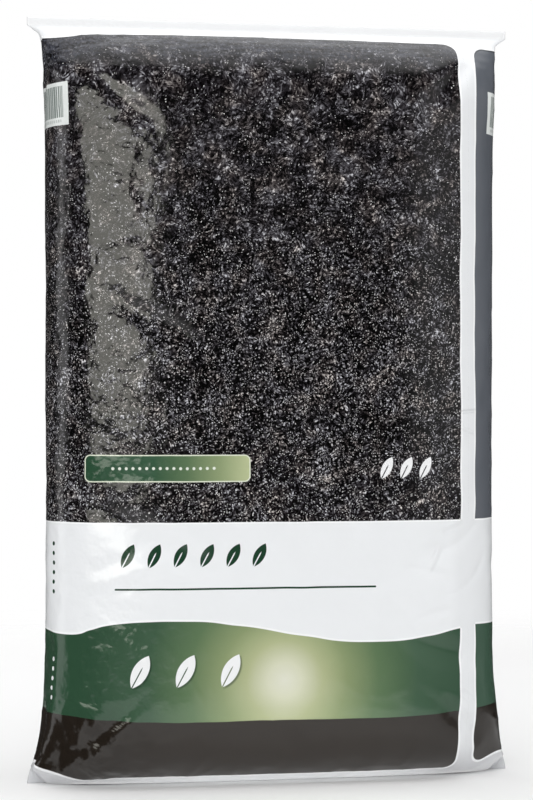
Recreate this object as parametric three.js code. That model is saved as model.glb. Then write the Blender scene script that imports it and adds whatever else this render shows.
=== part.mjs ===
// A sealed film sack of garden compost, filled tight and standing upright on its bottom seal.
// Millimetres, +Z up. The origin is the middle of the flat base, and the printed front faces -Y.
//
// The surface is a net of film columns and levels. A column keeps its distance along the film
// from the middle of the front, and a level keeps its height at the side edges. Borders of the
// print run along the net, so each field of colour is a set of whole cells.
import * as THREE from "three";

// Outer sizes
const SACK_HEIGHT = 600; // floor to the top edge of the seal
const SEAL_WIDTH = 390; // flat width of the film tube
const SEAL_HEIGHT = 6.5; // welded strip along the top
const SEAL_THICKNESS = 2; // gathered layers of film in a weld
const BODY_WIDTH = 355; // filled sack, side to side
const BODY_DEPTH = 128; // filled sack, front to back
const BODY_SQUARENESS = 3.6; // 2 is an ellipse, more is squarer at the edges

// Shoulder, where the film slopes from the top seal out over the fill
const SHOULDER_HEIGHT = 58; // seal to where the front stands upright
const SHOULDER_SLOPE_OUT = 28; // the film starts out as a slope this far forward
const SHOULDER_SLOPE_DROP = 14; // and this far down
const SHOULDER_TURN = 29; // the turn into the upright front is pulled to this depth
const TOP_EAR_STEP = 6; // each end of the seal juts out past the film under it
const TOP_EAR_DROP = 7; // height in which that step is made
const TOP_FLARE_FALL = 38; // height in which the rest of the flare fades

// Foot, where the film rolls under the fill to the bottom seal
const FOOT_HEIGHT = 62; // floor to where the front stands upright
const FOOT_TURN = 25; // the roll into the upright front is pulled to this height
const BASE_SQUARENESS = 2.4; // the flat patch is nearly an ellipse
const FOOT_FLARE_FALL = 43; // height in which the flare to the seal's width fades
const FOOT_FLARE_EASE = 1.4; // 1 fades at once, more keeps the width for longer
const BASE_DEPTH = 42; // flat patch that the sack stands on, front to back
const BASE_ROLL_OUT = 12; // the film leaves the floor this gently
const BASE_ROLL_LIFT = 3;
const EAR_LENGTH = 16; // end of the bottom seal that sticks out at each side
const EAR_HEIGHT = 12;
const PAD_HALF_WIDTH = 60; // plain middle of the base
const PAD_HALF_DEPTH = 12;

// Side gussets, drawn in under the top seal and above the bottom one
const GUSSET_TUCK = 6;
const GUSSET_OPENING = 0.6; // share of the side's depth that is drawn in
const GUSSET_TUCK_REACH = 18; // distance from the seal to the deepest point
const EDGE_ROUNDING = 40; // the mid line's height is taken up over this distance from an edge

// Print, as distances along the film from the edge of the front, and up from the floor
const STRIPE_WIDTH = 16; // bare film between the front print and the back print
const STRIPE_INSET = 37;
const LABEL_INSET = 23;
const LABEL_HALF_WIDTH = 38;
const LABEL_HEIGHT = 33;
const LABEL_DROP = 55; // below the top of the sack
const TOP_MARGIN = 17.7; // bare film under the top edge
const FOOT_MARGIN = 17.5; // bare film above the floor at the side edges
const FOOT_BAND_TOP = 58;
const WAVE_HEIGHT = 120; // mean height of the wavy border over the green band
const WAVE_REACH = 62; // the net takes the wave up within this height
const WHITE_BAND_TOP = 206;
const PILL_GAP = 31; // between the white band and the long rounded field above it
const PILL_HEIGHT = 21;
const PILL_LENGTH = 129;
const PILL_INSET = 36; // from the left edge of the front

// Wavy border, as [distance along the film from the middle of the front, rise from the mean]
const WAVE_POINTS = [
  [-300, 3],
  [-262, 2.5],
  [-205, 1],
  [-174, -0.5],
  [-155, 3.5],
  [-130, 8.8],
  [-92, 10.4],
  [-40, 6.4],
  [15, -2.8],
  [72, -8.2],
  [115, -4.9],
  [150, 1],
  [215, 4],
  [300, 4],
];

// Fineness of the net
const COLUMN_STEP = 13;
const LEVEL_STEP = 14.5;
const END_LEVEL_STEP = 6.5; // within the foot and the shoulder
const SECTION_STEPS = 48;

// Gentle unevenness of the fill under the film
const SWELL = 1.1;
const SWELL_ACROSS = 118; // distance between swells
const SWELL_UP = 141;

// Soft folds in the film: start and end as [distance along the film from the middle of the
// front, height], how wide, and how far in. The first list is the front, the second the back.
const FRONT_FOLDS = [
  { from: [-148, 547], to: [-108, 516], width: 12, depth: 1.6 },
  { from: [-158, 418], to: [-104, 432], width: 20, depth: 1.6 },
  { from: [-150, 386], to: [-62, 338], width: 20, depth: 2.6 },
  { from: [-160, 224], to: [-58, 168], width: 22, depth: 2.8 },
  { from: [-152, 158], to: [-96, 176], width: 14, depth: -2 },
  { from: [150, 196], to: [62, 152], width: 22, depth: 2.6 },
  { from: [168, 92], to: [96, 112], width: 20, depth: 2 },
  { from: [-176, 20], to: [-126, 58], width: 15, depth: 2.8 },
  { from: [-180, 66], to: [-128, 24], width: 12, depth: 3.2 },
  { from: [176, 18], to: [126, 60], width: 16, depth: 2.2 },
  { from: [172, 582], to: [118, 536], width: 17, depth: 3.4 },
];
const BACK_FOLDS = [
  { from: [-154, 574], to: [-82, 516], width: 18, depth: 4.2 },
  { from: [162, 560], to: [96, 522], width: 16, depth: 3.4 },
  { from: [-160, 330], to: [-60, 296], width: 22, depth: 3 },
  { from: [156, 268], to: [70, 222], width: 22, depth: 3.6 },
  { from: [-174, 22], to: [-112, 70], width: 17, depth: 4.2 },
  { from: [176, 20], to: [120, 64], width: 17, depth: 4.2 },
];

// Heights and distances worked out from the sizes above
const SEAL_FOOT = SACK_HEIGHT - SEAL_HEIGHT;
const SHOULDER_FOOT = SEAL_FOOT - SHOULDER_HEIGHT;
const FRONT_EDGE = SEAL_WIDTH / 2;
const FLARE = (SEAL_WIDTH - BODY_WIDTH) / 2;
const STRIPE_OUTER = FRONT_EDGE - STRIPE_INSET;
const STRIPE_INNER = STRIPE_OUTER - STRIPE_WIDTH;
const LABEL_EDGE = FRONT_EDGE - LABEL_INSET;
const SIDE_MIDDLE = LABEL_EDGE + LABEL_HALF_WIDTH; // film distance to the middle of a side
const LABEL_TOP = SACK_HEIGHT - LABEL_DROP;
const LABEL_BOTTOM = LABEL_TOP - LABEL_HEIGHT;
const PRINT_TOP = SACK_HEIGHT - TOP_MARGIN;
const PILL_BOTTOM = WHITE_BAND_TOP + PILL_GAP;
const PILL_TOP = PILL_BOTTOM + PILL_HEIGHT;
const PILL_LEFT = PILL_INSET - FRONT_EDGE;
const PILL_RIGHT = PILL_LEFT + PILL_LENGTH;

// Colours of the film and its fields of print
const FILM = {
  white: { color: 0xeceef2, roughness: 0.32 },
  soil: { color: 0x35322f, roughness: 0.36 },
  slate: { color: 0x595d63, roughness: 0.34 },
  green: { color: 0x3f6a4c, roughness: 0.3 },
  foot: { color: 0x3f3d3b, roughness: 0.3 },
  pill: { color: 0x5f8560, roughness: 0.3 },
  label: { color: 0xf4f5f6, roughness: 0.4 },
};

const smoothstep = THREE.MathUtils.smoothstep;
const lerp = THREE.MathUtils.lerp;

// Middle line of the shoulder and of the foot, as [depth out from the middle plane, height]
const shoulderLine = new THREE.CubicBezierCurve(
  new THREE.Vector2(SEAL_THICKNESS / 2, SEAL_FOOT),
  new THREE.Vector2(SHOULDER_SLOPE_OUT, SEAL_FOOT - SHOULDER_SLOPE_DROP),
  new THREE.Vector2(BODY_DEPTH / 2, SEAL_FOOT - SHOULDER_TURN),
  new THREE.Vector2(BODY_DEPTH / 2, SHOULDER_FOOT),
);
const footLine = new THREE.CubicBezierCurve(
  new THREE.Vector2(BASE_DEPTH / 2, 0),
  new THREE.Vector2(BASE_DEPTH / 2 + BASE_ROLL_OUT, BASE_ROLL_LIFT),
  new THREE.Vector2(BODY_DEPTH / 2, FOOT_TURN),
  new THREE.Vector2(BODY_DEPTH / 2, FOOT_HEIGHT),
);
const waveLine = new THREE.SplineCurve(WAVE_POINTS.map(([x, y]) => new THREE.Vector2(x, y)));

// How far a level is from the bottom of the shoulder to the seal, and from the top of the foot
// to the floor, each from 0 to 1
const intoShoulder = (level) =>
  THREE.MathUtils.clamp((level - SHOULDER_FOOT) / SHOULDER_HEIGHT, 0, 1);
const intoFoot = (level) => THREE.MathUtils.clamp(1 - level / FOOT_HEIGHT, 0, 1);

// Half the depth of the sack at a level, and the height of its middle line there
function middleLine(level) {
  if (level >= SEAL_FOOT) return { halfDepth: SEAL_THICKNESS / 2, height: level };
  if (level > SHOULDER_FOOT) {
    const point = shoulderLine.getPoint(1 - intoShoulder(level));
    return { halfDepth: point.x, height: point.y };
  }
  if (level >= FOOT_HEIGHT) return { halfDepth: BODY_DEPTH / 2, height: level };
  const point = footLine.getPoint(1 - intoFoot(level));
  return { halfDepth: point.x, height: point.y };
}

// Half the width at a level: the body's, plus the flares out to the seals
function halfWidth(level) {
  const underTop = SEAL_FOOT - level;
  const ear = TOP_EAR_STEP * (1 - smoothstep(underTop, 0, TOP_EAR_DROP));
  const flare = (FLARE - TOP_EAR_STEP) * Math.exp(-Math.max(underTop, 0) / TOP_FLARE_FALL);
  const footFlare = FLARE * Math.exp(-((level / FOOT_FLARE_FALL) ** FOOT_FLARE_EASE));
  return BODY_WIDTH / 2 + ear + flare + footFlare;
}

const earLength = (level) => EAR_LENGTH * Math.max(0, 1 - level / EAR_HEIGHT);

// How far the gusset is drawn in, at a distance from a seal
function tuckAt(distance) {
  const share = Math.max(distance, 0) / GUSSET_TUCK_REACH;
  return GUSSET_TUCK * share * Math.exp(1 - share);
}

// One quarter of the section at a level, from the middle of the front to the middle of the
// side: x to the side, y out from the middle plane, and the distance run along the film
function quarterSection(level) {
  const half = halfWidth(level);
  const { halfDepth } = middleLine(level);
  const belly = half - earLength(level);
  const tuck = tuckAt(SEAL_FOOT - level) + tuckAt(level - EAR_HEIGHT);
  const power = 2 / lerp(BODY_SQUARENESS, BASE_SQUARENESS, intoFoot(level) ** 3);
  const weld = SEAL_THICKNESS / 2;
  const corners = [];
  for (let i = 0; i <= SECTION_STEPS; i++) {
    const angle = (i / SECTION_STEPS) * (Math.PI / 2);
    const y = Math.max(halfDepth * Math.cos(angle) ** power, weld);
    corners.push([belly * Math.sin(angle) ** power, y]);
  }
  corners.push([half, weld], [half, 0]);
  let run = 0;
  const line = corners.map(([x, y]) => {
    const drawnIn = tuck * Math.max(0, 1 - y / halfDepth / GUSSET_OPENING) ** 2;
    return new THREE.Vector2(x - drawnIn, y);
  });
  return line.map((point, i) => {
    run += i > 0 ? point.distanceTo(line[i - 1]) : 0;
    return { x: point.x, y: point.y, run };
  });
}

// The point of a quarter section at a distance along the film. Film past the label's edge
// belongs to the gusset, which shares out what length the section has left.
function alongSection(section, distance) {
  const whole = section[section.length - 1].run;
  const gusset = (distance - LABEL_EDGE) / (SIDE_MIDDLE - LABEL_EDGE);
  const run = gusset > 0 ? lerp(LABEL_EDGE, whole, gusset) : distance;
  const next = section.findIndex((point, i) => i > 0 && point.run >= run - 1e-9);
  const [a, b] = [section[next - 1], section[next]];
  const share = b.run > a.run ? Math.min((run - a.run) / (b.run - a.run), 1) : 1;
  return { x: lerp(a.x, b.x, share), y: lerp(a.y, b.y, share) };
}

// How far soft folds draw the film in at a place
function foldDepth(folds, across, height) {
  const place = new THREE.Vector2(across, height);
  return folds.reduce((sum, fold) => {
    const start = new THREE.Vector2(...fold.from);
    const line = new THREE.Vector2(...fold.to).sub(start);
    const out = place.clone().sub(start);
    const along = out.dot(line) / line.lengthSq();
    const off = out.cross(line) / line.length() / fold.width;
    const fade = smoothstep(along, -0.25, 0.35) * (1 - smoothstep(along, 0.65, 1.25));
    return sum + fold.depth * fade * Math.exp(-off * off * 4);
  }, 0);
}

// Unevenness of the fill, nothing at the seals
function swell(across, height, turn) {
  const waves =
    Math.sin((across / SWELL_ACROSS) * Math.PI + turn) +
    Math.sin((height / SWELL_UP) * Math.PI + across / SWELL_ACROSS - turn);
  return SWELL * waves;
}

// A point of the surface: side is -1 for left and 1 for right, face is -1 for front and 1 for back
function filmPoint(section, distance, level, side, face) {
  const { x, y } = alongSection(section, distance);
  const across = side * distance;
  const fromEdge = smoothstep(section[section.length - 1].x - x, 0, EDGE_ROUNDING);
  const height = lerp(level, middleLine(level).height, fromEdge) + waveLift(-face * across, level);
  const aboveFoot = smoothstep(level, 0, FOOT_HEIGHT / 2);
  const belowSeal = smoothstep(SEAL_FOOT - level, 0, SHOULDER_HEIGHT / 2);
  const folds = foldDepth(face < 0 ? FRONT_FOLDS : BACK_FOLDS, across, height) * aboveFoot * belowSeal;
  const inBody = 1 - Math.max(intoShoulder(level), intoFoot(level)) ** 2;
  const out = y + (swell(across, height, face) * inBody - folds) * fromEdge;
  return new THREE.Vector3(side * x, face * out, height);
}

// Rise of the wavy border at a distance along the film
function waveRise(across) {
  const next = WAVE_POINTS.findIndex(([x]) => x >= across);
  const [a, b] = [WAVE_POINTS[next - 1][0], WAVE_POINTS[next][0]];
  return waveLine.getPoint((next - 1 + (across - a) / (b - a)) / (WAVE_POINTS.length - 1)).y;
}

// How far the net is lifted near the wavy border, so that one level follows it
function waveLift(across, level) {
  const share = Math.min(Math.abs(level - WAVE_HEIGHT) / WAVE_REACH, 1);
  return waveRise(across) * (1 - share * share) ** 2;
}

// Values from the first border to the last, no further apart than the step
function spread(borders, stepAt) {
  const values = [borders[0]];
  for (let i = 1; i < borders.length; i++) {
    const [from, to] = [borders[i - 1], borders[i]];
    const parts = Math.max(1, Math.round((to - from) / stepAt((from + to) / 2)));
    for (let k = 1; k <= parts; k++) values.push(lerp(from, to, k / parts));
  }
  return values;
}

// Which field of print a cell shows. The print runs round the tube, and the back repeats the
// front's layout turned half round, with plain slate in the place of the soil.
function fieldAt(across, level, face) {
  const turned = face < 0 ? across : -across;
  const onFrontPrint = face < 0 ? turned < STRIPE_OUTER : turned > STRIPE_OUTER;
  const bare = turned > STRIPE_INNER && turned < STRIPE_OUTER;
  if (level < FOOT_MARGIN || level > PRINT_TOP || bare) return "white";
  const onLabel = Math.abs(across) > LABEL_EDGE && level > LABEL_BOTTOM && level < LABEL_TOP;
  if (onLabel) return "label";
  if (level < FOOT_BAND_TOP) return "foot";
  if (level < WAVE_HEIGHT) return "green";
  if (level < WHITE_BAND_TOP) return "white";
  const besidePill = face > 0 || across < PILL_LEFT || across > PILL_RIGHT;
  if (!besidePill && level > PILL_BOTTOM && level < PILL_TOP) return "pill";
  return onFrontPrint ? "soil" : "slate";
}

// The film's net as one closed solid, with its cells gathered by field of print
function sackGeometry() {
  const columnBorders = [0, Math.abs(PILL_RIGHT), STRIPE_INNER, STRIPE_OUTER, LABEL_EDGE, SIDE_MIDDLE];
  const distances = spread(columnBorders, () => COLUMN_STEP);
  const atEnd = (level) => level < FOOT_HEIGHT || level > SHOULDER_FOOT;
  const borders = [
    ...[0, EAR_HEIGHT / 2, EAR_HEIGHT, FOOT_MARGIN, FOOT_BAND_TOP, WAVE_HEIGHT, WHITE_BAND_TOP],
    ...[PILL_BOTTOM, PILL_TOP, LABEL_BOTTOM, LABEL_TOP, PRINT_TOP, SEAL_FOOT, SACK_HEIGHT],
  ];
  const levels = spread(borders, (level) => (atEnd(level) ? END_LEVEL_STEP : LEVEL_STEP));
  const quarter = distances.length - 1;
  const around = quarter * 4;

  // Columns round the sack, from the middle of the left side by the front to the right
  const columns = [];
  for (let i = 0; i < around; i++) {
    const [inQuarter, which] = [i % quarter, Math.floor(i / quarter)];
    const distance = distances[which % 2 ? inQuarter : quarter - inQuarter];
    const side = which === 0 || which === 3 ? -1 : 1;
    columns.push({ distance, side, face: which < 2 ? -1 : 1 });
  }

  const points = levels.flatMap((level) => {
    const section = quarterSection(level);
    return columns.map((c) => filmPoint(section, c.distance, level, c.side, c.face));
  });
  const padCorners = [
    [-PAD_HALF_WIDTH, -PAD_HALF_DEPTH],
    [PAD_HALF_WIDTH, -PAD_HALF_DEPTH],
    [PAD_HALF_WIDTH, PAD_HALF_DEPTH],
    [-PAD_HALF_WIDTH, PAD_HALF_DEPTH],
  ];
  const pad = padCorners.map(([x, y]) => points.push(new THREE.Vector3(x, y, 0)) - 1);

  const cells = Object.fromEntries(Object.keys(FILM).map((name) => [name, []]));
  for (let r = 0; r < levels.length - 1; r++) {
    const level = (levels[r] + levels[r + 1]) / 2;
    for (let i = 0; i < around; i++) {
      const next = (i + 1) % around;
      const middle = (columns[i].distance + columns[next].distance) / 2;
      const { side, face } = columns[i];
      const [low, high] = [r * around, (r + 1) * around];
      const corners = [low + i, low + next, high + next, high + i];
      cells[fieldAt(side * middle, level, face)].push(...twoTriangles(corners));
    }
  }
  cells.white.push(...basePatch(pad, quarter, around));
  cells.white.push(...topEdge(around, (levels.length - 1) * around));

  const geometry = new THREE.BufferGeometry().setFromPoints(points);
  const names = Object.keys(FILM).filter((name) => cells[name].length);
  geometry.setIndex(names.flatMap((name) => cells[name]));
  names.reduce((start, name) => {
    geometry.addGroup(start, cells[name].length, Object.keys(FILM).indexOf(name));
    return start + cells[name].length;
  }, 0);
  geometry.computeVertexNormals();
  return geometry;
}

const twoTriangles = ([a, b, c, d]) => [a, b, c, a, c, d];

// The flat underside: a plain pad in the middle, joined to the lowest ring of the net
function basePatch(pad, quarter, around) {
  const faces = [pad[0], pad[3], pad[2], pad[0], pad[2], pad[1]];
  for (let i = 0; i < around; i++) {
    const corner = Math.floor(i / quarter);
    faces.push((i + 1) % around, i, pad[corner]);
    if (i % quarter === 0) faces.push(i, pad[(corner + 3) % 4], pad[corner]);
  }
  return faces;
}

// The cut edge of the top seal, as a strip from the front's columns to the back's
function topEdge(around, start) {
  const faces = [];
  for (let j = 0; j < around / 2; j++) {
    const [front, nextFront] = [start + j, start + j + 1];
    const [back, nextBack] = [start + ((around - j) % around), start + around - j - 1];
    if (nextFront !== nextBack) faces.push(front, nextFront, nextBack);
    if (front !== back) faces.push(front, nextBack, back);
  }
  return faces;
}

// The sealed sack with its fill
function filledSack() {
  const materials = Object.entries(FILM).map(
    ([name, look]) => new THREE.MeshStandardMaterial({ name, metalness: 0, ...look }),
  );
  const mesh = new THREE.Mesh(sackGeometry(), materials);
  mesh.name = "filled_sack";
  return mesh;
}

const compostBag = new THREE.Group();
compostBag.add(filledSack());

export default compostBag;
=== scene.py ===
"""A sealed film sack of garden compost, filled tight and standing upright on a pale floor.

Sizes are in millimetres until the mesh is made. A place on the film is its distance round the
tube from the middle of the front, to the viewer's right, and its level, the height at the side
edges. Both are kept in the mesh's map, and the print is drawn in them.
"""
import math

import bpy
import numpy as np
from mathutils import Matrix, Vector, noise


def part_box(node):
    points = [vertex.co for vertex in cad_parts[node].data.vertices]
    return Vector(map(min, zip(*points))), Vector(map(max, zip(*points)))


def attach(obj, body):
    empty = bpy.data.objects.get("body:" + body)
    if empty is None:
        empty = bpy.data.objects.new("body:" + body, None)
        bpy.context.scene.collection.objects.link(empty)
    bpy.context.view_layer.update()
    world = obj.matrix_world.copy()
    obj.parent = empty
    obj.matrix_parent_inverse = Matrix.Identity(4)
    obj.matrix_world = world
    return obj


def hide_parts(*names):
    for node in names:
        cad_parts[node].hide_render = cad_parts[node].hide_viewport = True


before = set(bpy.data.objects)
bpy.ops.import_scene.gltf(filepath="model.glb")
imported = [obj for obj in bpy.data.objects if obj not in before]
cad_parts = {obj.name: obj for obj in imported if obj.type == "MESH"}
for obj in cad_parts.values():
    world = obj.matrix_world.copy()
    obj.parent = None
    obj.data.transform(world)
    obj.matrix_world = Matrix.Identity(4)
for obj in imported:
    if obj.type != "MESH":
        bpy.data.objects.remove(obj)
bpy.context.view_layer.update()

MM = 0.001
LOW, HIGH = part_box("filled_sack")

# Outer sizes, as the solid has them
SACK_HEIGHT = (HIGH.z - LOW.z) / MM
SEAL_WIDTH = (HIGH.x - LOW.x) / MM
SEAL_HEIGHT = 6.5
BODY_WIDTH = 355.0
BODY_DEPTH = 128.0
BODY_SQUARENESS = 3.6
FILM_THICKNESS = 0.9  # both layers in a weld

SHOULDER_HEIGHT = 58.0
SHOULDER_SLOPE_OUT = 28.0
SHOULDER_SLOPE_DROP = 14.0
SHOULDER_TURN = 29.0
TOP_EAR_STEP = 6.0
TOP_EAR_DROP = 7.0
TOP_FLARE_FALL = 38.0

FOOT_HEIGHT = 62.0
FOOT_TURN = 25.0
BASE_SQUARENESS = 2.4
FOOT_FLARE_FALL = 43.0
FOOT_FLARE_EASE = 1.4
BASE_DEPTH = 42.0
BASE_ROLL_OUT = 12.0
BASE_ROLL_LIFT = 3.0
EAR_LENGTH = 16.0
EAR_HEIGHT = 12.0

GUSSET_TUCK = 6.0
GUSSET_OPENING = 0.6
GUSSET_TUCK_REACH = 18.0
EDGE_ROUNDING = 40.0

# Print
STRIPE_WIDTH = 16.0
STRIPE_INSET = 37.0
CORNER_RADIUS = 10.0
LABEL_INSET = 23.0
LABEL_HALF_WIDTH = 38.0
LABEL_HEIGHT = 33.0
LABEL_DROP = 55.0
TOP_MARGIN = 17.7
FOOT_MARGIN = 17.5
FOOT_BAND_TOP = 58.0
FOOT_BAND_SAG = 1.6
WAVE_HEIGHT = 120.0
WHITE_BAND_TOP = 206.0
PILL_GAP = 31.0
PILL_HEIGHT = 21.0
PILL_LENGTH = 129.0
PILL_INSET = 36.0
PILL_RADIUS = 4.6
PILL_OUTLINE = 0.9
LABEL_RADIUS = 0.6
PRINT_SOFTNESS = 0.22  # half the width over which one colour turns into the next
BORDER_WANDER = 0.9
BORDER_WANDER_RUN = 52
BORDER_GLOW = 0.9
BORDER_GLOW_OFFSET = 0.8
CORNER_DIP = 3.5
SHOULDER_LEAN = 4.5
TOP_LINE_WIDTH = 1.3
GLOW_LEFT, GLOW_LEVEL, GLOW_REACH = 3.0, 84.0, 150.0
WAVE_POINTS = [
    (-300, 3), (-262, 2.5), (-205, 1), (-174, -0.5), (-155, 3.5), (-130, 8.8), (-92, 10.4),
    (-40, 6.4), (15, -2.8), (72, -8.2), (115, -4.9), (150, 1), (215, 4), (300, 4),
]

# Plain shapes in the print. A row of leaves: left end, count, pitch, middle level and height
LEAF_LEAN = 28.0
LEAF_PLUMPNESS = 0.42
LEAF_VEIN = 0.45
HEAD_LEAVES = (-135.0, 6, 20.4, 180.5, 18.0)
WHITE_LEAVES = (-133.0, 3, 35.0, 92.0, 25.0)
SMALL_LEAVES = (70.0, 3, 16.0, 247.0, 17.0)
RULE_LEFT, RULE_LENGTH, RULE_LEVEL, RULE_THICKNESS = -135.0, 205.0, 155.0, 1.5
LEAF_SHADOW_RIGHT, LEAF_SHADOW_DOWN = 1.3, 1.2
PILL_DOTS_LEFT = -139.0
PILL_DOTS = (5.2, 16, 1.15)  # pitch, count and radius
SIDE_DOTS = (-190.0, -222.0)
SIDE_DOT_PITCH, SIDE_DOT_RADIUS = 7.4, 1.7
BAND_DOTS_FOOT, BAND_DOTS = 148.0, 6
GREEN_DOTS_FOOT, GREEN_DOTS = 66.0, 5

# Printed soil: sizes of its clods, lumps, dust and pale specks, and where it gets coarser
CLOD_SIZE, LUMP_SIZE, DUST_SIZE, SPECK_SIZE = 15.0, 6.5, 1.2, 1.6
COARSE_FROM, COARSE_FADE = 430.0, 110.0

# Crumbs of the printed soil: angle, length, length over width, and strength
CRUMBS = [(20, 7.2, 2.0, 0.38), (-38, 5.1, 2.6, 0.4), (66, 3.9, 2.8, 0.42), (8, 2.8, 2.4, 0.45)]

# Colours as a picture shows them, from 0 to 255. A row of tones starts with its two ends
SOIL_TONES = [
    (0.0, (0, 0, 0)), (1.0, (226, 225, 224)), (0.18, (4, 3, 4)), (0.3, (20, 18, 19)),
    (0.41, (41, 38, 40)), (0.53, (66, 63, 65)), (0.7, (112, 110, 111)),
]
GREEN_TONES = [
    (0.0, (228, 229, 212)), (1.0, (46, 77, 56)), (0.09, (217, 219, 193)),
    (0.2, (180, 187, 144)), (0.33, (140, 155, 112)), (0.5, (96, 121, 87)),
    (0.72, (64, 92, 70)),
]
PILL_TONES = [
    (0.0, (42, 76, 54)), (1.0, (190, 198, 154)), (0.42, (54, 88, 64)),
    (0.62, (94, 119, 86)), (0.82, (144, 159, 118)),
]
BARE_FILM = (241, 243, 245)
# Painted shade of the bare film where it turns away from the light at the sides
BARE_IN_SIDE_SHADE = (236, 238, 240)
# Painted shade of the bare film at the bottom corners, where its folds shade it
BARE_IN_CORNER_SHADE = (208, 209, 212)
SEAL_FILM = (250, 251, 252)
BORDER_FILM = (253, 254, 255)
DARK_MARKS = (28, 62, 42)
WHITE_MARKS = (246, 247, 248)
LEAF_SHADOW = (24, 50, 34)
PALE_SPECKS = (228, 227, 226)
# Painted reflection: the grey of the veil laid over the soil under the top seal
SHOULDER_VEIL_GREY = (61, 63, 71)
TOP_LINE = (26, 26, 28)
SLATE = (95, 99, 106)
BACK_GREEN = (62, 88, 72)
FOOT_BAND = (36, 30, 24)
LABEL_FIELD, LABEL_BARS = (236, 240, 238), (108, 120, 115)
PILL_BORDER, PILL_DOT = (226, 232, 212), (232, 238, 226)

# The level over which the printed soil turns into a smooth grey: a painted reflection of the veil
# that the shoulder catches
SHOULDER_VEIL_LEVEL = 562.0

# Net of the film
FRONT_COLUMNS = 240
BACK_COLUMNS = 112
BODY_STEP = 2.5
END_STEP = 1.6
SEAL_ROWS = 5
SECTION_STEPS = 120

# Unevenness of the fill
SWELL = 1.1
SWELL_ACROSS = 118.0
SWELL_UP = 141.0

# Broad folds, as the solid has them: start, end, width and depth
FRONT_FOLDS = [
    ((-148, 547), (-108, 516), 12, 1.6),
    ((-158, 418), (-104, 432), 20, 1.6),
    ((-150, 386), (-62, 338), 20, 2.6),
    ((-160, 224), (-58, 168), 22, 2.8),
    ((-152, 158), (-96, 176), 14, -2),
    ((150, 196), (62, 152), 22, 2.6),
    ((168, 92), (96, 112), 20, 2),
    ((-176, 20), (-126, 58), 15, 2.8),
    ((-180, 66), (-128, 24), 12, 3.2),
    ((176, 18), (126, 60), 16, 2.2),
    ((172, 582), (118, 536), 17, 3.4),
]
BACK_FOLDS = [
    ((-154, 574), (-82, 516), 18, 4.2),
    ((162, 560), (96, 522), 16, 3.4),
    ((-160, 330), (-60, 296), 22, 3),
    ((156, 268), (70, 222), 22, 3.6),
    ((-174, 22), (-112, 70), 17, 4.2),
    ((176, 20), (120, 64), 17, 4.2),
]

# Sharp creases in the film: start, end, width and height of the ridge
CREASES = [
    ((-162, 535), (-138, 541), 6.0, -0.5),
    ((-156, 552), (-121, 553), 6.0, -0.45),
    ((-132, 517), (-113, 503), 6.0, -0.4),
    ((-154, 409), (-119, 417), 5.0, 0.28),
    ((-136, 434), (-119, 446), 5.0, -0.3),
    ((-150, 398), (-104, 372), 11.0, -0.5),
    ((-140, 330), (-108, 344), 6.0, -0.25),
    ((-142, 218), (-104, 237), 8.0, 0.4),
    ((-150, 254), (-108, 268), 8.0, 0.35),
    ((-150, 188), (-110, 168), 8.0, 0.5),
    ((-128, 160), (-98, 190), 7.0, 0.45),
    ((160, 203), (106, 183), 9.0, -1.8),
    ((170, 178), (128, 146), 9.0, -1.4),
]

# Fine creases, too small for the net: start, end, reach to each side and height
FINE_CREASES = [
    ((140, 290.5), (161, 291.5), 2.2, -1.1),
    ((141, 279), (157, 273), 2.6, 0.6),
    ((142, 72), (158, 60), 4.0, -0.8),
    ((125, 196), (148, 203), 4.0, -0.8),
    ((113, 164), (125, 188), 4.0, 0.9),
    ((92, 171), (136, 160), 6.0, -0.9),
    ((98, 128), (142, 137), 6.0, -0.8),
]

# Small wrinkles: how far and over what size they bend, the sizes of the soft ones and of the
# crumpled ones, the net of ridges, and the level pleats under the top seal
WRINKLE_BEND, WRINKLE_BEND_SIZE = 14, 46
WRINKLE_SIZES = (30, 13)
CRUMPLE_SIZES = (21, 10)
RIDGE_SIZE, RIDGE_SHARPNESS = 34, 9
PLEAT_LENGTH, PLEAT_SIZE, PLEAT_LIFT = 70, 4.2, 0.28

# Unevenness of the film's surface
HANDLED_SIZE, DIMPLE_SIZE, CORNER_CRUMPLE_SIZE = 30, 11.0, 6.5
HANDLED_BEND = 4.0

# Slack film over the fill
SIM_SCALE = 5.0  # the cloth solver is steadier on a larger sheet
SIM_FRAMES = 24
SIM_QUALITY = 6
START_STIR, START_STIR_SIZE = 0.25, 17
FILM_MASS = 0.3
FILM_STIFFNESS = 30
FILM_SHEAR = 12
HOLD_OF_FILL = 0.09
BENDING = 0.3
FILM_SLACK = 0.03
FILL_PRESSURE = 0.12
MOST_MOVE = 6.0

# Floor, and what the film reflects: how bright each part of the studio is
FLOOR_RADIUS, FLOOR_END, FLOOR_FADE = 1.7, 1.2, 0.45
CEILING_GLOW, GROUND_GLOW, RIGHT_GLOW, LEFT_GLOW, DIM_GLOW = 0.95, 1.02, 0.45, 1.1, 0.03
PLAIN_GLOW, SEEN_GLOW = 0.56, 1.0  # what lights plain surfaces, and what the camera sees

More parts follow.
